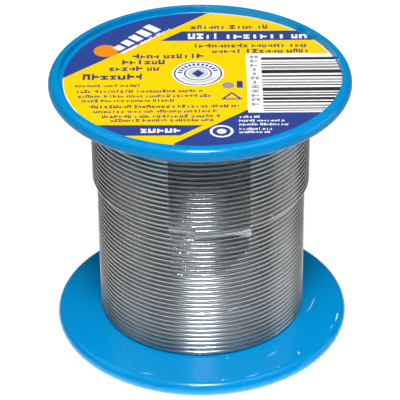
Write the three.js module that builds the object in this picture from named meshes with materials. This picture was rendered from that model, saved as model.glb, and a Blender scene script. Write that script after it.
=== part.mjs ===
// A 100 g spool of 0.8 mm solder wire: two moulded halves pressed together at mid-height, seven layers of
// wire wound between their flanges, a round paper label in the upper recess and a strip of clear tape that
// holds the free end of the wire.
// Millimetres, +Z up along the spool's axis. The origin is the middle of the rim that the spool stands on,
// and -Y is the side that the tape is on.
import * as THREE from 'three';

// Driving dimensions
const SPOOL_HEIGHT = 44.4;
const FLANGE_RADIUS = 23.1;
const CORE_RADIUS = 11.9;
const WIRE_DIAMETER = 0.8;
const TAPE_WIDTH = 12.7;
const FACETS = 64; // around every turned piece

// Flange: a web with a rounded bead around it, which leaves a shallow recess on the outside
const BEAD_RADIUS = 1.3;
const BEAD_CREST_RADIUS = FLANGE_RADIUS - BEAD_RADIUS;
const BEAD_THICKNESS = 2 * BEAD_RADIUS;
const BEAD_INNER_ROUNDING = 0.12; // leaves a narrow flat on the crest, which the spool stands on
const BEAD_FACETS = 8;
const RECESS_RADIUS = 21.6;
const RECESS_DEPTH = 1.2;
const INNER_FACE_SLOPE = 0.0715; // the flange thickens by this much per millimetre towards the core
const ROOT_FILLET = 0.6;

// Core: a tube in two lengths, joined by a spigot, with a smaller bore through each flange's web
const WALL = 1.6;
const BORE_RADIUS = 5.5;
const CORE_BORE_RADIUS = CORE_RADIUS - WALL;
const SPIGOT_CLEARANCE = 0.1;
const SPIGOT_LENGTH = 6;
const SPIGOT_WALL = 1.4;
const JOINT_GAP = 0.05;

// Winding: each layer lies in the grooves of the one below it
const LAYER_STEP = WIRE_DIAMETER * Math.sin(Math.PI / 3);
const LAYERS = 7;
const LAST_LAYER_TURNS = 19;
const LAYER_GAP = 0.04;
const END_GAP = 0.06;

// Label and tape
const LABEL_RADIUS = 21.2;
const LABEL_OFFSET = 0.35; // it is stuck down against one side of the recess
const LABEL_THICKNESS = 0.12;
const LABEL_GAP = 0.02;
const TAPE_THICKNESS = 0.1;
const TAPE_GAP = 0.06;
const TAPE_MIDDLE = THREE.MathUtils.degToRad(4.7); // azimuth from -Y, towards +X
const TAPE_LOWEST = 17.5;
const TAPE_CUT_START = 0.55; // where along its width the slanting cut starts
const TAPE_CUT_RISE = 4.1;
const TAPE_BRIDGE = 1.6; // height of the stretch that steps down to the layer below
const TAPE_COLUMNS = 10;

const materials = {
  spool: new THREE.MeshStandardMaterial({ color: 0x0d94d8, roughness: 0.3, metalness: 0 }),
  wire: new THREE.MeshStandardMaterial({ color: 0xb4b4b0, roughness: 0.35, metalness: 1 }),
  label: new THREE.MeshStandardMaterial({ color: 0xf4cc08, roughness: 0.45, metalness: 0 }),
  tape: new THREE.MeshStandardMaterial({
    color: 0xe8eef0,
    roughness: 0.1,
    metalness: 0,
    transparent: true,
    opacity: 0.3,
  }),
};

/** Height of a flange's inner face above the outer end of the spool, at a radius. */
function flangeThickness(radius) {
  return BEAD_THICKNESS + (BEAD_CREST_RADIUS - radius) * INNER_FACE_SLOPE;
}

/** How far from the spool's outer end the winding stops at a radius, clear of the flange and its root. */
function endHeight(radius) {
  const intoRoot = Math.max(0, CORE_RADIUS + ROOT_FILLET - radius);
  return flangeThickness(radius) + intoRoot + END_GAP;
}

/** Points of a circular arc in the profile plane, from one angle to another in degrees. */
function arc(centreR, centreZ, radius, from, to, steps) {
  const points = [];
  for (let i = 0; i <= steps; i += 1) {
    const angle = THREE.MathUtils.degToRad(from + ((to - from) * i) / steps);
    points.push([centreR + radius * Math.cos(angle), centreZ + radius * Math.sin(angle)]);
  }
  return points;
}

/** An anticlockwise profile of [radius, height] points, turned around the Z axis. One off the axis is closed. */
function turned(profile) {
  const points = profile[0][0] > 0 ? [...profile, profile[0]] : profile;
  const geometry = new THREE.LatheGeometry(points.map(([r, z]) => new THREE.Vector2(r, z)), FACETS);
  geometry.rotateX(Math.PI / 2);
  return geometry;
}

/** The flange's section, from the bore outwards along its outer face and back to the core's outside. */
function flangeProfile() {
  const filletRadius = CORE_RADIUS + ROOT_FILLET;
  return [
    [BORE_RADIUS, RECESS_DEPTH],
    [RECESS_RADIUS, RECESS_DEPTH],
    ...arc(RECESS_RADIUS + BEAD_INNER_ROUNDING, BEAD_INNER_ROUNDING, BEAD_INNER_ROUNDING, 180, 270, 3),
    ...arc(BEAD_CREST_RADIUS, BEAD_RADIUS, BEAD_RADIUS, -90, 90, BEAD_FACETS),
    [filletRadius, flangeThickness(filletRadius)],
    [CORE_RADIUS, flangeThickness(CORE_RADIUS) + ROOT_FILLET],
  ];
}

/** The lower half: its tube is the socket of the joint. */
function lowerHalf() {
  const top = SPOOL_HEIGHT / 2 - JOINT_GAP;
  return turned([
    ...flangeProfile(),
    [CORE_RADIUS, top],
    [CORE_BORE_RADIUS, top],
    [CORE_BORE_RADIUS, RECESS_DEPTH + WALL],
    [BORE_RADIUS, RECESS_DEPTH + WALL],
  ]);
}

/** The upper half: the same flange turned over, with the spigot that enters the lower half's tube. */
function upperHalf() {
  const joint = SPOOL_HEIGHT / 2 - JOINT_GAP;
  const spigotRadius = CORE_BORE_RADIUS - SPIGOT_CLEARANCE;
  const spigotBore = spigotRadius - SPIGOT_WALL;
  const profile = [
    ...flangeProfile(),
    [CORE_RADIUS, joint],
    [spigotRadius, joint],
    [spigotRadius, joint + SPIGOT_LENGTH],
    [spigotBore, joint + SPIGOT_LENGTH],
    [spigotBore, joint - WALL],
    [CORE_BORE_RADIUS, joint - WALL],
    [CORE_BORE_RADIUS, RECESS_DEPTH + WALL],
    [BORE_RADIUS, RECESS_DEPTH + WALL],
  ];
  const turnedOver = profile.map(([r, z]) => [r, SPOOL_HEIGHT - z]);
  return turned(turnedOver.reverse());
}

/** Radius of a layer's wire centre, counted from 1 at the core. */
function layerRadius(number) {
  return CORE_RADIUS + WIRE_DIAMETER / 2 + (number - 1) * LAYER_STEP;
}

/** Height that the last layer, which isn't full, comes down to. */
function lastLayerBottom() {
  const flangeFace = SPOOL_HEIGHT - flangeThickness(layerRadius(LAYERS));
  return flangeFace - LAST_LAYER_TURNS * WIRE_DIAMETER;
}

/** The space that one layer of turns fills, up to the upper flange. */
function wireLayer(number) {
  const last = number === LAYERS;
  const centre = layerRadius(number);
  const inner = number === 1 ? CORE_RADIUS + LAYER_GAP : centre - LAYER_STEP / 2 + LAYER_GAP;
  const outer = last ? centre + WIRE_DIAMETER / 2 : centre + LAYER_STEP / 2;
  return turned([
    [inner, last ? lastLayerBottom() : endHeight(inner)],
    [outer, last ? lastLayerBottom() : endHeight(outer)],
    [outer, SPOOL_HEIGHT - endHeight(outer)],
    [inner, SPOOL_HEIGHT - endHeight(inner)],
  ]);
}

/** The round label, a disc of paper that lies a little off the spool's axis. */
function label() {
  const bottom = SPOOL_HEIGHT - RECESS_DEPTH + LABEL_GAP;
  const disc = turned([
    [0, bottom],
    [LABEL_RADIUS, bottom],
    [LABEL_RADIUS, bottom + LABEL_THICKNESS],
    [0, bottom + LABEL_THICKNESS],
  ]);
  return disc.translate(LABEL_OFFSET, 0, 0);
}

/** The tape: a strip bent round the winding, which steps down at the end of the last layer. */
function tape() {
  const over = layerRadius(LAYERS) + WIRE_DIAMETER / 2 + TAPE_GAP;
  const under = layerRadius(LAYERS - 1) + WIRE_DIAMETER / 2 + TAPE_GAP;
  const top = SPOOL_HEIGHT - flangeThickness(over) - TAPE_GAP;
  const step = lastLayerBottom() - TAPE_GAP;
  const halfAngle = TAPE_WIDTH / over / 2;
  const rows = [
    { height: null, radius: under },
    { height: step - TAPE_BRIDGE, radius: under },
    { height: step, radius: over },
    { height: top, radius: over },
  ];
  const geometry = new THREE.BoxGeometry(1, 1, 1, TAPE_COLUMNS, rows.length - 1, 1);
  const position = geometry.attributes.position;
  for (let i = 0; i < position.count; i += 1) {
    const across = position.getX(i) + 0.5;
    const row = rows[Math.round((position.getY(i) + 0.5) * (rows.length - 1))];
    const cut = Math.max(0, across - TAPE_CUT_START) / (1 - TAPE_CUT_START);
    const height = row.height ?? TAPE_LOWEST + cut * TAPE_CUT_RISE;
    const radius = row.radius + (position.getZ(i) + 0.5) * TAPE_THICKNESS;
    const azimuth = TAPE_MIDDLE + (2 * across - 1) * halfAngle;
    position.setXYZ(i, radius * Math.sin(azimuth), -radius * Math.cos(azimuth), height);
  }
  return geometry;
}

function addPart(group, name, geometry, material) {
  const mesh = new THREE.Mesh(geometry, material);
  mesh.name = name;
  group.add(mesh);
}

const group = new THREE.Group();
addPart(group, 'lower_half', lowerHalf(), materials.spool);
addPart(group, 'upper_half', upperHalf(), materials.spool);
for (let number = 1; number <= LAYERS; number += 1) {
  addPart(group, `wire_layer_${number}`, wireLayer(number), materials.wire);
}
addPart(group, 'label', label(), materials.label);
addPart(group, 'tape', tape(), materials.tape);

export default group;
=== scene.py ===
"""A spool of 0.8 mm solder wire, standing on a pale studio floor.

Shapes are worked out in millimetres and turned into metres where their points are made.
Azimuth 0 is -Y, the side that the tape is on, and azimuths grow towards +X.
"""

import math
import random

import bpy
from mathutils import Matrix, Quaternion, Vector, geometry, noise


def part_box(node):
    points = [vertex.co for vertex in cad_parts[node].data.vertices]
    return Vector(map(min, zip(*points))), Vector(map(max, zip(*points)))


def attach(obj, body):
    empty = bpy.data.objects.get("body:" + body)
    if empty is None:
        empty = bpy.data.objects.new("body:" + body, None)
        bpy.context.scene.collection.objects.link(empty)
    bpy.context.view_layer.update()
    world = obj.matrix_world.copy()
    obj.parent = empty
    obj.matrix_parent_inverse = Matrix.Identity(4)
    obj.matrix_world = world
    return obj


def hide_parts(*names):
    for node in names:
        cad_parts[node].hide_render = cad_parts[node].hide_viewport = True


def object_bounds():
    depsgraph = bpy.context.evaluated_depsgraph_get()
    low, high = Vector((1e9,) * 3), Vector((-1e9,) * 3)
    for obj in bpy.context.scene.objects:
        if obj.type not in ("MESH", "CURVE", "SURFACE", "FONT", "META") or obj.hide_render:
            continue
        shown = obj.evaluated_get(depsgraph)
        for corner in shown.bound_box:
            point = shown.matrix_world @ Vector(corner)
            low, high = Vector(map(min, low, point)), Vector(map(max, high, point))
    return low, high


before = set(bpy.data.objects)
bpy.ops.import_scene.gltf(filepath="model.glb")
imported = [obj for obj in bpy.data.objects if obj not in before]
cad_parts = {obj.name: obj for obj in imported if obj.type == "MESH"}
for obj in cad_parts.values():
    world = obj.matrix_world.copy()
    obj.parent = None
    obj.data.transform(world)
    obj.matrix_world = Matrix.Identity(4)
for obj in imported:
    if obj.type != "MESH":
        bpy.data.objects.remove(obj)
cad_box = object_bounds()
noise.seed_set(1)  # noise vectors differ from run to run without it

MM = 0.001
SPOOL_HEIGHT = (cad_box[1].z - cad_box[0].z) / MM
FLANGE_RADIUS = (cad_box[1].y - cad_box[0].y) / 2 / MM

# Flange: a web with a rounded bead around it
BEAD_RADIUS = 1.3
BEAD_CREST_RADIUS = FLANGE_RADIUS - BEAD_RADIUS
BEAD_INNER_ROUNDING = 0.12
RECESS_RADIUS = 21.6
RECESS_DEPTH = 1.2
RECESS_FILLET = 0.25
INNER_FACE_SLOPE = 0.0715
ROOT_FILLET = 0.6
FLANGE_SEGMENTS = 192

# Core: a tube in two lengths, joined by a spigot
CORE_RADIUS = 11.9
WALL = 1.6
BORE_RADIUS = 5.5
CORE_BORE_RADIUS = CORE_RADIUS - WALL
SPIGOT_RADIUS = CORE_BORE_RADIUS - 0.1
SPIGOT_BORE_RADIUS = SPIGOT_RADIUS - 1.4
SPIGOT_LENGTH = 6
JOINT_GAP = 0.05

# Winding: turns lie level and step to the next one behind the spool, and each layer lies in the grooves
# of the one below it
WIRE_DIAMETER = 0.8
WIRE_RADIUS = WIRE_DIAMETER / 2
LAYER_STEP = WIRE_DIAMETER * math.sin(math.pi / 3)
LAYERS = 7
LAST_LAYER_TURNS = 19
ODD_LAYER_OFFSET = 0.733  # the turns of odd layers are at this height and whole wire diameters above it
CROSSING = 16  # degrees on each side of the back in which a turn steps over
FREE_END_AZIMUTH = -3.2
SEEN_SEGMENTS = 120  # of one turn
HIDDEN_SEGMENTS = 26
SEEN_SIDES = 10
HIDDEN_SIDES = 6
WOBBLE = 0.02
CUT_CHAMFER = 0.12
FLUX_CORE_RADIUS = 0.13


def polar(radius, azimuth, height):
    """A point in metres, from millimetres and an azimuth in degrees."""
    angle = math.radians(azimuth)
    return Vector((radius * math.sin(angle), -radius * math.cos(angle), height)) * MM


def smooth_step(t):
    t = min(max(t, 0), 1)
    return t * t * (3 - 2 * t)


def mix(a, b, t):
    return a + (b - a) * t


def add_piece(name, verts, faces, materials, smooth=True):
    mesh = bpy.data.meshes.new(name)
    mesh.from_pydata([tuple(v) for v in verts], [], faces)
    mesh.update()
    mesh.polygons.foreach_set("use_smooth", [smooth] * len(mesh.polygons))
    for material in materials:
        mesh.materials.append(material)
    piece = bpy.data.objects.new(name, mesh)
    bpy.context.scene.collection.objects.link(piece)
    return piece


# ---------------------------------------------------------------- camera, lights and stage

CAMERA_ELEVATION = 32.16
CAMERA_DISTANCE = 374.29
LENS = 215.207
AIM_RIGHT = -0.157
AIM_UP = -0.581
CAMERA_ROLL = -0.479

# Distances from the axis, in metres, between which the stage's glow goes from its inner to its outer value
GLOW_START = 0.0255
GLOW_END = 0.03


def add_camera():
    data = bpy.data.cameras.new("camera")
    data.sensor_width = 36
    data.lens = LENS
    camera = bpy.data.objects.new("camera", data)
    bpy.context.scene.collection.objects.link(camera)
    bpy.context.scene.camera = camera
    elevation = math.radians(CAMERA_ELEVATION)
    middle = (cad_box[0] + cad_box[1]) / 2
    back = Vector((0, -math.cos(elevation), math.sin(elevation)))
    right = Vector((1, 0, 0))
    up = back.cross(right)
    camera.location = middle + back * CAMERA_DISTANCE * MM
    aim = middle + (right * AIM_RIGHT + up * AIM_UP) * MM
    roll = Quaternion((0, 0, 1), math.radians(CAMERA_ROLL))
    camera.rotation_mode = "QUATERNION"
    camera.rotation_quaternion = (aim - camera.location).to_track_quat("-Z", "Y") @ roll


def add_softbox(name, azimuth, elevation, distance, size, power, mirrored=True):
    """A rectangular light that faces the spool. One that isn't mirrored lights it without showing in it."""
    data = bpy.data.lights.new(name, "AREA")
    data.shape = "RECTANGLE"
    data.size, data.size_y = size
    data.energy = power
    light = bpy.data.objects.new(name, data)
    bpy.context.scene.collection.objects.link(light)
    middle = (cad_box[0] + cad_box[1]) / 2
    rise = math.radians(elevation)
    out = polar(1000 * distance * math.cos(rise), azimuth, 1000 * distance * math.sin(rise))
    light.location = middle + out
    light.rotation_euler = (-out).to_track_quat("-Z", "Y").to_euler()
    light.visible_camera = False
    light.visible_glossy = mirrored


def add_lights():
    """A small hot softbox in front with a large weak one round it, fills round the spool, and a dim room."""
    add_softbox("key", 1, 61, 0.6, (0.14, 0.2), 3.2)
    add_softbox("front", 0, 64, 1.0, (0.42, 0.42), 1.8)
    add_softbox("front_fill", -8, 24, 1.0, (0.8, 0.5), 1.0, mirrored=False)
    add_softbox("right", 95, 12, 1.0, (0.62, 0.42), 0.9)
    add_softbox("right_top", 75, 62, 1.0, (0.6, 0.42), 1.0)
    add_softbox("left", -95, 55, 1.0, (0.8, 0.8), 1.2)
    add_softbox("back_right", 150, 22, 1.0, (0.6, 0.6), 0.7, mirrored=False)
    add_softbox("back_left", -150, 22, 1.0, (0.6, 0.6), 0.6, mirrored=False)
    world = bpy.data.worlds.new("studio")
    bpy.context.scene.world = world
    world.use_nodes = True
    world.node_tree.nodes["Background"].inputs["Color"].default_value = (0.012, 0.0125, 0.013, 1)
    bpy.context.scene.view_settings.view_transform = "Standard"


def turned_stage(name, rings, material):
    segments = 64
    verts = [polar(1000 * r, 360 * i / segments, 1000 * z) for r, z in rings for i in range(segments)]
    piece = add_piece(name, verts, ring_faces(len(rings), segments), [material])
    return piece


def add_stage():
    """A pale floor with a rounded wall round it, over a floor that only lights the spool and shows in it."""
    pale = floor_material("pale_floor", (0.22, 0.22), (0.97, 0.97), 1)
    floor = turned_stage("floor", [(0.0001, 0), (0.08, 0), (0.3, 0), (1.2, 0)], pale)
    wall = turned_stage("wall", [(1.2, 0), (1.5, 0.06), (1.7, 0.3), (1.75, 1.2), (1.75, 2.5)], pale)
    for piece in (floor, wall):
        piece.visible_glossy = False
        piece.visible_diffuse = False
        piece.visible_shadow = False
    bounce_material = floor_material("bounce", (0.85, 0.25), (1, 0.03), 1.6)
    bounce = turned_stage("bounce", [(0.0001, -0.001), (1.2, -0.001)], bounce_material)
    bounce.visible_camera = False


def ring_faces(rows, segments, closed=False):
    """Quads between rows of points that each go once round."""
    faces = []
    for row in range(rows if closed else rows - 1):
        below = row * segments
        above = (row + 1) % rows * segments
        for i in range(segments):
            j = (i + 1) % segments
            faces.append((below + i, below + j, above + j, above + i))
    return faces


# ---------------------------------------------------------------- materials


class Shader:
    """A new material's node tree, with its Principled shader."""

    def __init__(self, name, **values):
        self.material = bpy.data.materials.new(name)
        self.material.use_nodes = True
        self.nodes = self.material.node_tree.nodes
        self.surface = self.nodes["Principled BSDF"]
        for socket, value in values.items():
            self.surface.inputs[socket.replace("_", " ")].default_value = value

    def add(self, kind, settings=None, **values):
        """A node. Settings are its own properties, and values are numbers or outputs for its sockets."""
        node = self.nodes.new("ShaderNode" + kind)
        for key, value in (settings or {}).items():
            setattr(node, key, value)
        for socket, value in values.items():
            self.set(node, socket.replace("_", " "), value)
        return node

    def set(self, node, socket, value):
        if isinstance(value, bpy.types.NodeSocket):
            self.material.node_tree.links.new(value, node.inputs[socket])
        else:
            node.inputs[socket].default_value = value

    def drive(self, socket, output):
        self.set(self.surface, socket, output)

    def noise(self, scale, detail=4, roughness=0.55, vector=None, stretch=None):
        """Noise at a scale per metre. Stretch multiplies the coordinates first."""
        if vector is None:
            vector = self.add("TexCoord").outputs["Object"]
        if stretch is not None:
            vector = self.add("Mapping", Vector=vector, Scale=stretch).outputs["Vector"]
        texture = self.add("TexNoise", Vector=vector, Scale=scale, Detail=detail, Roughness=roughness)
        return texture.outputs["Fac"]

    def ramp(self, value, stops):
        """Colours or greys by value: (position, colour) pairs."""
        ramp = self.add("ValToRGB", Fac=value)
        elements = ramp.color_ramp.elements
        while len(elements) < len(stops):
            elements.new(0.5)
        for element, (position, colour) in zip(elements, stops):
            element.position = position
            element.color = colour if hasattr(colour, "__len__") else (colour, colour, colour, 1)
        return ramp.outputs["Color"]

    def multiply(self, first, second):
        node = self.add("MixRGB", {"blend_type": "MULTIPLY"}, Fac=1.0, Color1=first, Color2=second)
        return node.outputs["Color"]

    def bump(self, height, strength, distance, normal=None):
        """A normal from a height. The distance is in millimetres."""
        values = {"Height": height, "Strength": strength, "Distance": distance * MM}
        if normal is not None:
            values["Normal"] = normal
        return self.add("Bump", **values).outputs["Normal"]


def floor_material(name, paleness, glow, strength):
    """Matt and mottled. Paleness and glow are each a value beside the spool and one away from it."""
    shader = Shader(name, Roughness=0.7, Specular_IOR_Level=0.1, Emission_Strength=strength)
    place = shader.add("TexCoord").outputs["Object"]
    distance = shader.add("VectorMath", {"operation": "LENGTH"}, Vector=place).outputs["Value"]
    shader.drive("Emission Color", shader.ramp(distance, [(GLOW_START, glow[0]), (GLOW_END, glow[1])]))
    tone = shader.ramp(distance, [(0.04, paleness[0]), (0.12, mix(*paleness, 0.75)), (0.4, paleness[1])])
    mottle = shader.ramp(shader.noise(6, detail=2), [(0.3, 0.96), (0.7, 1.0)])
    shader.drive("Base Color", shader.multiply(tone, mottle))
    return shader.material


def plastic_material():
    """Glossy blue polystyrene, with faint flow marks and fine wear."""
    shader = Shader("blue_polystyrene", IOR=1.52, Specular_IOR_Level=0.33)
    shader.surface.inputs["Subsurface Weight"].default_value = 0.15
    shader.surface.inputs["Subsurface Radius"].default_value = (0.3, 0.8, 1.0)
    shader.surface.inputs["Subsurface Scale"].default_value = 0.0012
    flow = shader.noise(90, detail=5, stretch=(1, 1, 3))
    deep_blue = (0.0, 0.25, 0.58, 1)
    light_blue = (0.0, 0.278, 0.63, 1)
    shader.drive("Base Color", shader.ramp(flow, [(0.3, deep_blue), (0.7, light_blue)]))
    wear = shader.noise(900, detail=6, roughness=0.7)
    shader.drive("Roughness", shader.ramp(wear, [(0.4, 0.12), (0.62, 0.2), (0.72, 0.36)]))
    peel = shader.noise(350, detail=3)
    shader.drive("Normal", shader.bump(peel, 0.25, 0.02, shader.bump(wear, 0.15, 0.01)))
    return shader.material


def scuff_glint_material():
    """Polystyrene that a knock has roughened and scratched, painted pale as the glints that its scratches
    catch.
    """
    shader = Shader("scuffed_polystyrene_painted_glint", Roughness=0.3)
    # Pale blues: painted glints of the scratches.
    tones = [(0.3, (0.35, 0.66, 0.82, 1)), (0.7, (0.6, 0.85, 0.95, 1))]
    shader.drive("Base Color", shader.ramp(shader.noise(1500), tones))
    return shader.material


def solder_material():
    """Bright drawn tin-lead wire with a few pale specks, which are painted glints of small dents. The UV map
    runs along the wire and round it.
    """
    shader = Shader("drawn_solder", Metallic=1, Anisotropic=0.7)
    shader.surface.inputs["Anisotropic Rotation"].default_value = 0.25
    along = shader.add("UVMap", {"uv_map": "along_and_round"}).outputs["UV"]
    streaks = shader.noise(1, detail=5, roughness=0.6, vector=along, stretch=(0.6, 9, 1))
    tarnish = shader.noise(160, detail=5, roughness=0.6)
    tone = shader.ramp(tarnish, [(0.3, (0.42, 0.435, 0.43, 1)), (0.7, (0.51, 0.525, 0.52, 1))])
    # Pale specks: painted glints of small dents in the wire.
    glint_specks = shader.ramp(shader.noise(420, detail=1), [(0.745, 0), (0.765, 1)])
    tone_with_glints = shader.add("MixRGB", Fac=glint_specks, Color1=tone, Color2=(0.95, 0.95, 0.94, 1)).outputs["Color"]
    shader.drive("Base Color", tone_with_glints)
    shader.drive("Roughness", shader.ramp(streaks, [(0.3, 0.23), (0.7, 0.33)]))
    shader.drive("Normal", shader.bump(streaks, 0.3, 0.02))
    grain = shader.add("Tangent", {"direction_type": "UV_MAP", "uv_map": "along_and_round"})
    shader.drive("Tangent", grain.outputs["Tangent"])
    return shader.material


def flux_material():
    """Amber rosin, which shows only at the wire's cut end."""
    shader = Shader("flux_resin", Roughness=0.3)
    tones = [(0.3, (0.32, 0.16, 0.03, 1)), (0.7, (0.5, 0.28, 0.07, 1))]
    shader.drive("Base Color", shader.ramp(shader.noise(4000), tones))
    return shader.material


def label_material():
    """Coated paper. The ink is in the mesh's colour attribute."""
    shader = Shader("printed_label", Specular_IOR_Level=0.12)
    ink = shader.add("VertexColor", {"layer_name": "ink"}).outputs["Color"]
    mottle = shader.ramp(shader.noise(700, detail=6), [(0.3, 0.97), (0.7, 1.0)])
    shader.drive("Base Color", shader.multiply(ink, mottle))
    fibre = shader.noise(1800, detail=5)
    shader.drive("Roughness", shader.ramp(fibre, [(0.3, 0.34), (0.7, 0.46)]))
    shader.drive("Normal", shader.bump(fibre, 0.1, 0.02))
    return shader.material


def tape_material():
    """Clear film: glossy at a slant, glossier and hazier where it is loose, and darker at the top with
    painted shade under the flange.
    """
    shader = Shader("clear_tape")
    normal = shader.bump(shader.noise(400, detail=2), 0.2, 0.02)
    place = shader.add("SeparateXYZ", Vector=shader.add("TexCoord").outputs["Object"])
    # Near the top the film lets less through: painted shade under the upper flange.
    lit_tint = (0.88, 0.885, 0.89, 1)
    shaded_tint = (0.745, 0.765, 0.77, 1)
    flange_shade = shader.ramp(place.outputs["Z"], [(0.03, lit_tint), (0.036, shaded_tint)])
    clear = shader.add("BsdfTransparent", Color=flange_shade).outputs[0]
    gloss = shader.add("BsdfAnisotropic", Color=(1, 1, 1, 1), Roughness=0.1, Normal=normal).outputs[0]
    # Cloudy film: partly real haze, and tinted blue as a painted reflection of the blue flange.
    haze_and_blue_reflection = shader.add("BsdfDiffuse", Color=(0.72, 0.82, 0.87, 1)).outputs[0]
    loose = shader.add("Attribute", {"attribute_name": "looseness"}).outputs["Fac"]
    cloud = shader.ramp(shader.noise(250, detail=3), [(0.35, 0.75), (0.65, 1.0)])
    cloudiness = shader.add("Math", {"operation": "MULTIPLY"})
    shader.set(cloudiness, 0, shader.ramp(loose, [(0, 0), (0.5, 0.06), (1, 0.34)]))
    shader.set(cloudiness, 1, cloud)
    hazy = shader.add("MixShader", Fac=cloudiness.outputs[0])
    shader.set(hazy, 1, clear)
    shader.set(hazy, 2, haze_and_blue_reflection)
    slant = shader.add("LayerWeight", Blend=0.5).outputs["Facing"]
    shine = shader.add("Math", {"operation": "MULTIPLY_ADD"})
    shader.set(shine, 0, loose)
    shader.set(shine, 1, 0.16)
    shader.set(shine, 2, shader.ramp(slant, [(0.3, 0.01), (0.65, 0.04), (0.95, 0.5)]))
    film = shader.add("MixShader", Fac=shine.outputs[0])
    shader.set(film, 1, hazy.outputs[0])
    shader.set(film, 2, gloss)
    shader.set(shader.nodes["Material Output"], "Surface", film.outputs[0])
    return shader.material


# ---------------------------------------------------------------- spool


def face_height(radius):
    """Height of the lower flange's inner face at a radius."""
    return 2 * BEAD_RADIUS + (BEAD_CREST_RADIUS - radius) * INNER_FACE_SLOPE


def arc(centre_r, centre_z, radius, start, end, steps):
    points = []
    for i in range(steps + 1):
        angle = math.radians(mix(start, end, i / steps))
        points.append((centre_r + radius * math.cos(angle), centre_z + radius * math.sin(angle)))
    return points


def straight(start, end, steps):
    """Points from start up to, and not including, end."""
    return [(mix(start[0], end[0], i / steps), mix(start[1], end[1], i / steps)) for i in range(steps)]


def flange_profile():
    """Anticlockwise from the bore's edge, along the outer face and back to the root of the core."""
    edge = 0.15
    root = CORE_RADIUS + ROOT_FILLET
    face_start = BEAD_CREST_RADIUS - 0.15
    return [
        *arc(BORE_RADIUS + edge, RECESS_DEPTH + edge, edge, 180, 270, 3),
        *straight((BORE_RADIUS + 2 * edge, RECESS_DEPTH), (RECESS_RADIUS - RECESS_FILLET, RECESS_DEPTH), 12),
        *arc(RECESS_RADIUS - RECESS_FILLET, RECESS_DEPTH - RECESS_FILLET, RECESS_FILLET, 90, 0, 4),
        *arc(RECESS_RADIUS + BEAD_INNER_ROUNDING, BEAD_INNER_ROUNDING, BEAD_INNER_ROUNDING, 180, 270, 6),
        *arc(BEAD_CREST_RADIUS, BEAD_RADIUS, BEAD_RADIUS, -90, 90 - 4, 24),
        *straight((face_start, face_height(face_start)), (root, face_height(root)), 12),
        *arc(root, face_height(root) + ROOT_FILLET, -ROOT_FILLET, 90, 0, 5),
    ]


def lower_profile():
    top = SPOOL_HEIGHT / 2 - JOINT_GAP
    return [
        *flange_profile(),
        (CORE_RADIUS, top),
        (CORE_BORE_RADIUS, top),
        (CORE_BORE_RADIUS, RECESS_DEPTH + WALL),
        (BORE_RADIUS, RECESS_DEPTH + WALL),
    ]


def upper_profile():
    joint = SPOOL_HEIGHT / 2 - JOINT_GAP
    profile = [
        *flange_profile(),
        (CORE_RADIUS, joint),
        (SPIGOT_RADIUS, joint),
        (SPIGOT_RADIUS, joint + SPIGOT_LENGTH),
        (SPIGOT_BORE_RADIUS, joint + SPIGOT_LENGTH),
        (SPIGOT_BORE_RADIUS, joint - WALL),
        (CORE_BORE_RADIUS, joint - WALL),
        (CORE_BORE_RADIUS, RECESS_DEPTH + WALL),
        (BORE_RADIUS, RECESS_DEPTH + WALL),
    ]
    return [(r, SPOOL_HEIGHT - z) for r, z in reversed(profile)]


# (radius, start and end azimuth, drift in radius, width) of each scuff on the lower flange
SCUFFS = [
    (17.2, 75, 91, 1.0, 0.08),
    (22.1, 73, 80, -0.1, 0.15),
    (22.0, 67, 71.5, -0.1, 0.04),
    (20.8, 46, 44.5, 0.6, 0.22),
    (19.0, 32, 39, -0.4, 0.05),
    (16.9, 14, 13, 0.1, 0.1),
    (21.9, 9, 7.5, 0.1, 0.1),
    (21.9, 24, 17, 0.2, 0.05),
    (21.8, 33, 32, 0.1, 0.07),
    (21.5, -20, -26, 0.3, 0.05),
]
GATE_AZIMUTH = -18.3
EJECTOR_RADIUS = 16.5


def witness_ring(azimuth, radius):
    """The raised ring that an ejector pin leaves on the lower web, as a closed tube."""
    ring_radius, bead, segments, sides = 1.4, 0.06, 40, 6
    centre = polar(radius, azimuth, RECESS_DEPTH)
    verts = []
    for side in range(sides):
        angle = 2 * math.pi * side / sides
        r = ring_radius + bead * math.cos(angle)
        z = bead * math.sin(angle)
        verts += [centre + polar(r, 360 * i / segments, z) for i in range(segments)]
    return verts, ring_faces(sides, segments, closed=True)


def top_height(radius):
    """Height of the lower flange's upper side at a radius, bead included."""
    out = radius - BEAD_CREST_RADIUS
    return BEAD_RADIUS + math.sqrt(BEAD_RADIUS ** 2 - out ** 2) if out > 0 else face_height(radius)


def scuff(radius, start, end, drift, width):
    """A thin burr on the lower flange's upper side, between two azimuths, as a tube with pointed ends."""
    segments, sides = 14, 6
    verts = []
    for i in range(segments + 1):
        t = i / segments
        r = radius + drift * t
        thickness = width * (math.sin(math.pi * t) ** 1.5 + 0.05)
        for side in range(sides):
            angle = 2 * math.pi * side / sides
            rise = 0.4 * thickness * math.sin(angle)
            verts.append(polar(r + thickness * math.cos(angle), mix(start, end, t), top_height(r) + rise))
    ends = [tuple(range(sides - 1, -1, -1)), tuple(range(segments * sides, (segments + 1) * sides))]
    return verts, ring_faces(segments + 1, sides) + ends


def gate_stub(azimuth):
    """The rough rest of the gate that the plastic came in through, as a low oval dome on the bead's side."""
    rings, segments = 4, 16
    half_width, half_height, depth = 0.35, 0.6, 0.2
    middle = polar(FLANGE_RADIUS - 0.06, azimuth, BEAD_RADIUS)
    outward = polar(1, azimuth, 0) / MM
    across = polar(1, azimuth + 90, 0) / MM
    verts = []
    for ring in range(rings):
        t = ring / (rings - 1)
        for i in range(segments):
            angle = 2 * math.pi * i / segments
            size = mix(1, 0.3, t) * (1 + 0.1 * math.sin(3 * angle))
            sideways = across * math.cos(angle) * half_width * size
            up = Vector((0, 0, math.sin(angle) * half_height * size))
            verts.append(middle + (sideways + up + outward * depth * t) * MM)
    ends = [tuple(range(segments - 1, -1, -1)), tuple(range((rings - 1) * segments, rings * segments))]
    return verts, ring_faces(rings, segments) + ends


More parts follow.
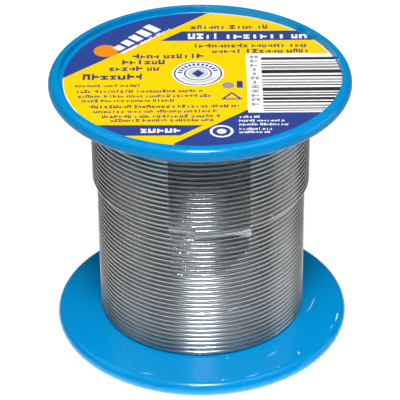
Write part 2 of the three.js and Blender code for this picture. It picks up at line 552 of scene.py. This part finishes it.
def add_half(name, profile, mouldings, scuffs, materials):
    """A turned half. Its mouldings are in the first material and its scuffs in the second."""
    verts = [polar(r, 360 * i / FLANGE_SEGMENTS, z) for r, z in profile for i in range(FLANGE_SEGMENTS)]
    faces = ring_faces(len(profile), FLANGE_SEGMENTS, closed=True)
    for more_verts, more_faces in mouldings + scuffs:
        faces += [tuple(len(verts) + i for i in face) for face in more_faces]
        verts += more_verts
    piece = add_piece(name, verts, faces, materials)
    scuffed = sum(len(more_faces) for _, more_faces in scuffs)
    for polygon in piece.data.polygons[len(faces) - scuffed:]:
        polygon.material_index = 1
    piece.data.set_sharp_from_angle(angle=math.radians(40))
    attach(piece, "root")
    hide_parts(name.replace("moulded_", ""))


# ---------------------------------------------------------------- wire


def layer_radius(number):
    """Radius of a layer's wire centre, counted from 1 at the core."""
    return CORE_RADIUS + WIRE_RADIUS + (number - 1) * LAYER_STEP


def turn_heights(number):
    """Heights of a layer's turns in the order that they were wound. Odd layers were wound downwards."""
    lowest = face_height(layer_radius(number)) + WIRE_RADIUS + (ROOT_FILLET if number == 1 else 0)
    offset = ODD_LAYER_OFFSET if number % 2 else ODD_LAYER_OFFSET - WIRE_RADIUS
    count = math.ceil(SPOOL_HEIGHT / WIRE_DIAMETER)
    heights = [offset + WIRE_DIAMETER * i for i in range(count)]
    heights = [h for h in heights if lowest <= h <= SPOOL_HEIGHT - lowest]
    if number % 2:
        heights.reverse()
    return heights[:LAST_LAYER_TURNS] if number == LAYERS else heights


def all_turns():
    """(layer, radius, height, whether it shows) of every turn, from the core outwards."""
    last_height = turn_heights(LAYERS)[-1]
    turns = []
    for number in range(1, LAYERS + 1):
        for height in turn_heights(number):
            seen = number == LAYERS or (number == LAYERS - 1 and height < last_height + 2 * WIRE_DIAMETER)
            turns.append((number, layer_radius(number), height, seen))
    return turns


def crossing_share(azimuth):
    """How far a turn has moved towards its neighbour: 0 for most of the way round, and half behind."""
    return smooth_step((abs(azimuth) - 180 + CROSSING) / (2 * CROSSING))


def point_on_turn(turns, index, azimuth):
    """(radius, height) of the wire's centre, which humps a little where it crosses the layer below."""
    number, radius, height, _ = turns[index]
    other = turns[max(index - 1, 0)] if azimuth > 0 else turns[min(index + 1, len(turns) - 1)]
    share = crossing_share(azimuth)
    hump = (number - 1) * (WIRE_DIAMETER - LAYER_STEP) * math.sin(math.pi * share)
    wander = noise.noise_vector(polar(radius, azimuth, height) * 60) * WOBBLE
    return mix(radius, other[1], share) + hump + wander.x, mix(height, other[2], share) + wander.z


def wire_stretches():
    """The wire in stretches of turns that either show or don't: (seen, (radius, azimuth, height) points)."""
    turns = all_turns()
    stretches = []
    for index, turn in enumerate(turns):
        seen = turn[3]
        segments = SEEN_SEGMENTS if seen else HIDDEN_SEGMENTS
        last = index == len(turns) - 1
        if not stretches or stretches[-1][0] != seen:
            join = [stretches[-1][1][-1]] if stretches else []
            stretches.append((seen, join))
        for i in range(segments + 1 if last else segments):
            azimuth = 180 - 360 * i / segments
            if last and azimuth < FREE_END_AZIMUTH:
                azimuth = FREE_END_AZIMUTH
            radius, height = point_on_turn(turns, index, azimuth)
            stretches[-1][1].append((radius, azimuth, height))
            if azimuth == FREE_END_AZIMUTH:
                break
    return stretches


def add_tube(path, sides, verts, faces, uvs, start):
    """Adds a tube along (radius, azimuth, height) points, closed at its start. Returns the length so far."""
    length = start
    first = len(verts)
    rings = []
    for i, (radius, azimuth, height) in enumerate(path):
        centre = polar(radius, azimuth, height)
        if i:
            length += (centre - polar(*path[i - 1])).length
        outward = polar(1000, azimuth, 0)
        rings.append(length)
        for side in range(sides):
            angle = 2 * math.pi * side / sides
            offset = outward * math.cos(angle) + Vector((0, 0, 1)) * math.sin(angle)
            verts.append(centre + offset * WIRE_RADIUS * MM)
    for i in range(len(path) - 1):
        for side in range(sides):
            a, b = first + i * sides + side, first + i * sides + (side + 1) % sides
            faces.append((a, b, b + sides, a + sides))
            u0, u1, v0, v1 = rings[i], rings[i + 1], side / sides, (side + 1) / sides
            uvs += [(u0, v0), (u0, v1), (u1, v1), (u1, v0)]
    faces.append(tuple(range(first + sides - 1, first - 1, -1)))
    uvs += [(start, 0)] * sides
    return length


def close_tube(path, sides, length, verts, faces, uvs):
    """The tube's far end: a chamfer, a flat face and, as the last face, the disc of its flux core."""
    tip = polar(*path[-1])
    forward = (tip - polar(*path[-2])).normalized()
    outward = polar(1000, path[-1][1], 0)
    for radius, advance in ((WIRE_RADIUS - CUT_CHAMFER, CUT_CHAMFER), (FLUX_CORE_RADIUS, CUT_CHAMFER)):
        first = len(verts) - sides
        for side in range(sides):
            angle = 2 * math.pi * side / sides
            offset = outward * math.cos(angle) + Vector((0, 0, 1)) * math.sin(angle)
            verts.append(tip + (offset * radius + forward * advance) * MM)
            a, b = first + side, first + (side + 1) % sides
            faces.append((a, b, b + sides, a + sides))
            uvs += [(length, 0)] * 4
    faces.append(tuple(range(len(verts) - sides, len(verts))))
    uvs += [(length, 0)] * sides


def add_wire(solder, flux):
    """The whole wire as one piece: each stretch a closed tube that starts where the last one ends."""
    verts, faces, uvs = [], [], []
    route = []
    length = 0
    for seen, path in wire_stretches():
        sides = SEEN_SIDES if seen else HIDDEN_SIDES
        length = add_tube(path, sides, verts, faces, uvs, length)
        close_tube(path, sides, length, verts, faces, uvs)
        route += path if not route else path[1:]
    wire = add_piece("solder_winding", verts, faces, [solder, flux])
    layer = wire.data.uv_layers.new(name="along_and_round")
    layer.uv.foreach_set("vector", [x for uv in uvs for x in uv])
    wire.data.polygons[-1].material_index = 1
    wire.data.set_sharp_from_angle(angle=math.radians(50))
    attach(wire, "root")
    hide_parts(*[f"wire_layer_{n}" for n in range(1, LAYERS + 1)])


# ---------------------------------------------------------------- label

YELLOW = (0.94, 0.62, 0.002, 1)
NAVY = (0.030, 0.058, 0.27, 1)
WHITE = (0.92, 0.92, 0.92, 1)
ORANGE = (0.86, 0.26, 0.01, 1)
PALE_GREY = (0.62, 0.62, 0.62, 1)
GREY = (0.30, 0.30, 0.31, 1)
BLACK = (0.03, 0.03, 0.035, 1)
INK = (0.06, 0.065, 0.12, 1)
LABEL_SIDES = 160
PAPER_EDGE = 0.15

# Strokes of generic marks that stand for lettering, as boxes on a square of side 1
STROKE = 0.35
MARKS = [
    [(0, 0, STROKE, 1), (1 - STROKE, 0, 1, 1), (0, 1 - STROKE, 1, 1)],
    [(0, 0, STROKE, 1), (1 - STROKE, 0, 1, 1), (0, 0, 1, STROKE)],
    [(0, 0, STROKE, 1), (0, 0.5 - STROKE / 2, 1, 0.5 + STROKE / 2)],
    [(1 - STROKE, 0, 1, 1), (0, 0.5 - STROKE / 2, 1, 0.5 + STROKE / 2)],
    [(0.5 - STROKE / 2, 0, 0.5 + STROKE / 2, 1)],
    [(0, 0, 1, STROKE), (0, 1 - STROKE, 1, 1), (0.5 - STROKE / 2, 0, 0.5 + STROKE / 2, 1)],
]

# (colour, left, right, middle, height) of each row of marks
ROWS = [
    (INK, -1.8, 10.9, 16.45, 1.3),
    (WHITE, -2.2, 16.1, 13.45, 1.8),
    (INK, -1.3, 16.0, 10.35, 1.25),
    (INK, 1.6, 16.6, 8.55, 1.25),
    (INK, -10.7, 0.3, 7.1, 1.45),
    (INK, -12.3, -5.9, 5.25, 1.45),
    (INK, -14.3, -6.6, 3.25, 1.45),
    (INK, -18.2, -7.5, 0.7, 1.8),
    (INK, -19.3, -9.0, -2.05, 0.8),
    (INK, -19.1, 0.1, -3.75, 0.9),
    (INK, -18.7, 1.5, -5.25, 0.85),
    (INK, -18.1, -4.2, -6.6, 0.85),
    (INK, -16.9, 6.0, -8.4, 0.9),
    (INK, -16.2, 2.3, -9.85, 0.85),
    (INK, -14.9, 2.9, -11.3, 0.9),
    (INK, -13.6, 1.7, -12.45, 0.85),
    (WHITE, -9.1, -3.0, -15.3, 1.6),
    (WHITE, 5.35, 8.8, -11.65, 0.65),
    (WHITE, 5.35, 12.4, -12.75, 0.65),
    (WHITE, 5.35, 12.8, -13.85, 0.65),
    (WHITE, 5.35, 10.5, -15.15, 0.65),
    (WHITE, 5.35, 10.0, -16.05, 0.65),
]


def circle(x, y, radius, sides=40):
    return [(x + radius * math.cos(2 * math.pi * i / sides), y + radius * math.sin(2 * math.pi * i / sides))
            for i in range(sides)]


def rectangle(x0, y0, x1, y1):
    return [(x0, y0), (x1, y0), (x1, y1), (x0, y1)]


def ring_sector(x, y, inner, outer, start, end, steps=16):
    """A band round a centre, between two angles in degrees."""
    angles = [math.radians(mix(start, end, i / steps)) for i in range(steps + 1)]
    return ([(x + outer * math.cos(a), y + outer * math.sin(a)) for a in angles]
            + [(x + inner * math.cos(a), y + inner * math.sin(a)) for a in reversed(angles)])


def turned(outline, x, y, angle):
    """An outline turned by an angle in degrees and moved to a point."""
    c, s = math.cos(math.radians(angle)), math.sin(math.radians(angle))
    return [(x + c * u - s * v, y + s * u + c * v) for u, v in outline]


def anticlockwise(outline):
    area = sum(x0 * y1 - x1 * y0 for (x0, y0), (x1, y1) in zip(outline, outline[1:] + outline[:1]))
    return outline if area > 0 else outline[::-1]


def mark(strokes, colour, x, y, width, height):
    """One mark as (colour, outline) shapes."""
    return [(colour, rectangle(x + x0 * width, y + y0 * height, x + x1 * width, y + y1 * height))
            for x0, y0, x1, y1 in strokes]


def row_of_marks(dice, colour, left, right, middle, height):
    """Words of marks, as (colour, outline) shapes."""
    shapes = []
    x = left
    word = dice.randint(4, 9)
    while x + 0.5 * height < right:
        width = height * dice.uniform(0.5, 0.72)
        tall = height * dice.choice((0.74, 0.74, 1))
        shapes += mark(dice.choice(MARKS), colour, x, middle - height / 2, width, tall)
        word -= 1
        x += width + height * (0.13 if word else 0.5)
        word = word or dice.randint(4, 9)
    return shapes


def slanting_mark():
    """Plain bars of growing height over a thin row of marks, up the corner from a round spot."""
    shapes = row_of_marks(random.Random(11), WHITE, 3.4, 10.2, -2.1, 0.7)
    shapes.append((WHITE, rectangle(-0.4, -2.35, 2.9, -1.85)))
    for i in range(5):
        shapes.append((WHITE, rectangle(2.0 * i - 0.2, -1.3, 2.0 * i + 1.2, 0.2 + 0.3 * i)))
    spot = (ORANGE, circle(-14.9, 8.9, 1.9))
    return [spot] + [(colour, turned(outline, -13.6, 9.9, 47)) for colour, outline in shapes]


def badge(x, y):
    """A round seal with a diamond in it."""
    shapes = [
        (WHITE, circle(x, y, 3.95, 64)),
        (NAVY, circle(x, y, 3.7, 64)),
        (WHITE, circle(x, y, 3.45, 64)),
        (PALE_GREY, ring_sector(x, y, 2.35, 3.0, 205, 335)),
        (NAVY, circle(x, y, 2.15, 48)),
        (WHITE, circle(x, y, 1.9, 48)),
        (PALE_GREY, circle(x, y, 1.6, 48)),
        (NAVY, [(x - 0.95, y), (x, y - 1.2), (x + 0.95, y), (x, y + 1.2)]),
    ]
    for angle in range(15, 171, 14):
        shapes.append((NAVY, ring_sector(x, y, 2.45, 3.15, angle, angle + 8, 3)))
    return shapes


def stock_code(left, top, bottom):
    """A white panel with level bars of random widths, and a column of marks beside them."""
    dice = random.Random(5)
    shapes = [(WHITE, rectangle(left, bottom, 24, top))]
    y = top - 1.2
    while y > bottom + 0.7:
        bar = dice.choice((0.35, 0.5, 0.8, 1.1))
        tone = dice.choice((BLACK, BLACK, BLACK, GREY))
        shapes.append((tone, rectangle(left + 2.3, max(y - bar, bottom + 0.5), 24, y)))
        y -= bar + dice.choice((0.35, 0.35, 0.6))
    for i in range(12):
        shapes += mark(dice.choice(MARKS), GREY, left + 0.6, top - 1.5 - 1.32 * i, 1.2, 0.85)
    return shapes


def symbols():
    """Small generic signs: a spot and a post, a triangle, and a ring."""
    return [
        (GREY, circle(3.9, -2.2, 0.95, 20)),
        (NAVY, rectangle(5.2, -3.0, 6.1, -0.9)),
        (NAVY, [(2.7, -6.5), (6.1, -6.5), (4.4, -4.2)]),
        (YELLOW, [(3.35, -6.2), (5.45, -6.2), (4.4, -4.75)]),
        (WHITE, circle(2.75, -15.8, 1.75)),
        (NAVY, circle(2.75, -15.8, 1.35)),
        (WHITE, circle(2.75, -15.8, 0.7)),
    ]


def label_shapes(radius):
    """(colour, outline) of each printed shape from the label's middle, in the order that they are printed."""
    dice = random.Random(7)
    shapes = [
        (WHITE, circle(0, 0, radius, LABEL_SIDES)),
        (YELLOW, circle(0, 0, radius - PAPER_EDGE, LABEL_SIDES)),
        (NAVY, [(-21.6, 0.0), (1.0, 21.2), (-10, 24), (-24, 14)]),
        (NAVY, [(-6.5, 12.0), (24, 12.0), (24, 15.1), (-3.2, 15.1)]),
        (NAVY, [(-4.2, -19.2), (6.5, -9.7), (24, -9.7), (24, -24), (-4.2, -24)]),
        (NAVY, [(-16.5, -13.75), (0.1, -14.0), (-3.3, -16.9), (-13, -16.9)]),
        *stock_code(6.75, 7.65, -10.45),
        *badge(-0.65, 1.55),
        *slanting_mark(),
        *symbols(),
    ]
    for row in ROWS:
        shapes += row_of_marks(dice, *row)
    return shapes


def add_label(material):
    """Flat paper in faces that each belong to the last shape printed over them."""
    low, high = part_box("label")
    middle = Vector(((low.x + high.x) / 2, (low.y + high.y) / 2, high.z))
    shapes = label_shapes((high.x - low.x) / 2 / MM)
    points, polygons = [], []
    for _, outline in shapes:
        polygons.append(list(range(len(points), len(points) + len(outline))))
        points += [Vector(p) for p in anticlockwise(outline)]
    flat, _, triangles, _, _, sources = geometry.delaunay_2d_cdt(points, [], polygons, 0, 1e-5)
    kept = [(t, max(s)) for t, s in zip(triangles, sources) if 0 in s]
    used = sorted({i for t, _ in kept for i in t})
    renumbered = {old: new for new, old in enumerate(used)}
    verts = [Vector((flat[i].x, flat[i].y, 0)) * MM + middle for i in used]
    faces = [tuple(renumbered[i] for i in t) for t, _ in kept]
    piece = add_piece("printed_label", verts, faces, [material], smooth=False)
    ink = piece.data.color_attributes.new("ink", "FLOAT_COLOR", "CORNER")
    colours = [c for t, s in kept for _ in t for c in shapes[s][0]]
    ink.data.foreach_set("color", colours)
    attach(piece, "root")
    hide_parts("label")


# ---------------------------------------------------------------- tape

TAPE_MIDDLE = 4.7
TAPE_WIDTH = 12.7
TAPE_THICKNESS = 0.05
TAPE_CLEARANCE = 0.03
TAPE_TOP = 41.25
TAPE_SAG = 0.035
PRESSED_SAG = 0.23
TAPE_BRIDGE = 1.5
TAPE_CUT = [(0, 17.5), (0.65, 18.2), (0.78, 19.8), (0.88, 20.5), (1, 21.6)]  # (share of the width, height)
PRESSED_TOP = 31
ROUGH_RIGHT = 2  # azimuth where the roughened part ends
ROUGH_TOP = 30
WRINKLE_LIFT = 0.55
CRUMPLE_LIFT = 0.2
CRUMPLE_BOTTOM = 36.5
TUNNEL_START = 13  # azimuth
TUNNEL_LENGTH = 13  # degrees
TUNNEL_LIFT = 0.75
TUNNEL_HALF_WIDTH = 1.15
TUNNEL_HEIGHTS = (25.8, 24.9)  # at its start and its end
TOOTH_PITCH = 0.9
TOOTH_DEPTH = 0.25
TAPE_COLUMNS = 110
TAPE_ROWS = 260


def along(stops, t):
    """Straight steps between (position, value) stops."""
    for (t0, v0), (t1, v1) in zip(stops, stops[1:]):
        if t <= t1:
            return mix(v0, v1, (t - t0) / (t1 - t0))
    return stops[-1][1]


def last_turn_bottom(azimuth):
    """Height of the last layer's lower side, which is one turn higher on the left of the wire's end."""
    heights = turn_heights(LAYERS)
    left = heights[-2] - WIRE_RADIUS
    right = heights[-1] - WIRE_RADIUS
    return mix(left, right, smooth_step((azimuth - FREE_END_AZIMUTH) / 2 + 0.5))


def pressed(height):
    """1 in the film's lower part, which is pressed down harder, and 0 at the top."""
    return smooth_step((PRESSED_TOP - height) / 4)


def sag(height, number):
    """How far the film sinks between the turns of a layer."""
    crest = turn_heights(number)[0]
    depth = mix(TAPE_SAG, PRESSED_SAG, pressed(height))
    return depth * math.sin(math.pi * (height - crest) / WIRE_DIAMETER) ** 4


def tunnel(azimuth, height):
    """The film's lift in a small tunnel below the last turn, which opens at the tape's right edge."""
    spread = max(azimuth - TUNNEL_START, 0) / TUNNEL_LENGTH
    middle = mix(*TUNNEL_HEIGHTS, spread)
    across = min(abs(height - middle) / (TUNNEL_HALF_WIDTH * spread + 0.1), 1)
    return TUNNEL_LIFT * spread * (1 - across * across) ** 2


def roughened(azimuth, height):
    """1 in the film's lower left part, which was pulled off and stuck down again, and 0 elsewhere."""
    return smooth_step((ROUGH_RIGHT - azimuth) / 9) * smooth_step((ROUGH_TOP - height) / 3)


def ripple(azimuth, height):
    """The tunnel, fine wrinkles in the film's lower left part and a crumple under the flange."""
    fine = abs(noise.noise(Vector((azimuth * 0.5, height * 0.5, 8.2))))
    wrinkles = WRINKLE_LIFT * roughened(azimuth, height) * fine
    coarse = max(0, noise.noise(Vector((azimuth * 0.25, height * 0.9, 3.3))))
    crumple = CRUMPLE_LIFT * smooth_step((height - CRUMPLE_BOTTOM) / 2.5) * coarse
    return tunnel(azimuth, height) + crumple + wrinkles


def tape_radius(azimuth, height):
    """Radius of the film's inner side, which steps from the last layer down to the one below it."""
    over = layer_radius(LAYERS) + WIRE_RADIUS - sag(height, LAYERS)
    under = layer_radius(LAYERS - 1) + WIRE_RADIUS - sag(height, LAYERS - 1)
    rise = (height - last_turn_bottom(azimuth)) / TAPE_BRIDGE + 1
    return mix(under, over, smooth_step(rise)) + ripple(azimuth, height) + TAPE_CLEARANCE


def tape_grid():
    """(azimuth, height, whether it is on a side or the cut) of each point, in rows from the top down."""
    half_angle = math.degrees(TAPE_WIDTH / (layer_radius(LAYERS) + WIRE_RADIUS) / 2)
    grid = []
    for row in range(TAPE_ROWS + 1):
        for column in range(TAPE_COLUMNS + 1):
            across = column / TAPE_COLUMNS
            azimuth = TAPE_MIDDLE + (2 * across - 1) * half_angle
            tooth = TOOTH_DEPTH * abs((across * TAPE_WIDTH / TOOTH_PITCH) % 1 - 0.5)
            height = mix(TAPE_TOP, along(TAPE_CUT, across) + tooth, row / TAPE_ROWS)
            grid.append((azimuth, height, column in (0, TAPE_COLUMNS) or row >= TAPE_ROWS - 1))
    return grid


def looseness(azimuth, height, on_edge):
    """0 where the film clings to the wire, up to 1 where it has come away from it."""
    number = LAYERS if height > last_turn_bottom(azimuth) else LAYERS - 1
    gap = tape_radius(azimuth, height) - layer_radius(number) - WIRE_RADIUS
    return max(min(gap / 0.5, 1), 0.15 * pressed(height), 0.5 * roughened(azimuth, height), 0.6 * on_edge)


def add_tape(material):
    """The film as a closed sheet: an outer and an inner grid, joined round their rim."""
    grid = tape_grid()
    verts = [polar(tape_radius(azimuth, height) + thickness, azimuth, height)
             for thickness in (TAPE_THICKNESS, 0) for azimuth, height, _ in grid]
    wide = TAPE_COLUMNS + 1
    back = len(verts) // 2
    faces = []
    for row in range(TAPE_ROWS):
        for column in range(TAPE_COLUMNS):
            a = row * wide + column
            faces.append((a, a + wide, a + wide + 1, a + 1))
            faces.append((back + a, back + a + 1, back + a + wide + 1, back + a + wide))
    rim = list(range(wide))
    rim += [row * wide + wide - 1 for row in range(1, TAPE_ROWS + 1)]
    rim += [TAPE_ROWS * wide + column for column in range(wide - 2, -1, -1)]
    rim += [row * wide for row in range(TAPE_ROWS - 1, 0, -1)]
    faces += [(a, b, back + b, back + a) for a, b in zip(rim, rim[1:] + rim[:1])]
    piece = add_piece("clear_tape", verts, faces, [material])
    loose = piece.data.attributes.new("looseness", "FLOAT", "POINT")
    loose.data.foreach_set("value", [looseness(*place) for place in grid] * 2)
    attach(piece, "root")
    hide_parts("tape")


# ---------------------------------------------------------------- build

add_camera()
add_wire(solder_material(), flux_material())
plastic = plastic_material()
witness_rings = [witness_ring(azimuth, EJECTOR_RADIUS) for azimuth in (45, 135, 225, 315)]
mouldings = witness_rings + [gate_stub(GATE_AZIMUTH)]
scuffs = [scuff(*sizes) for sizes in SCUFFS]
add_half("moulded_lower_half", lower_profile(), mouldings, scuffs, [plastic, scuff_glint_material()])
add_half("moulded_upper_half", upper_profile(), [], [], [plastic])
add_label(label_material())
add_tape(tape_material())
add_stage()
add_lights()
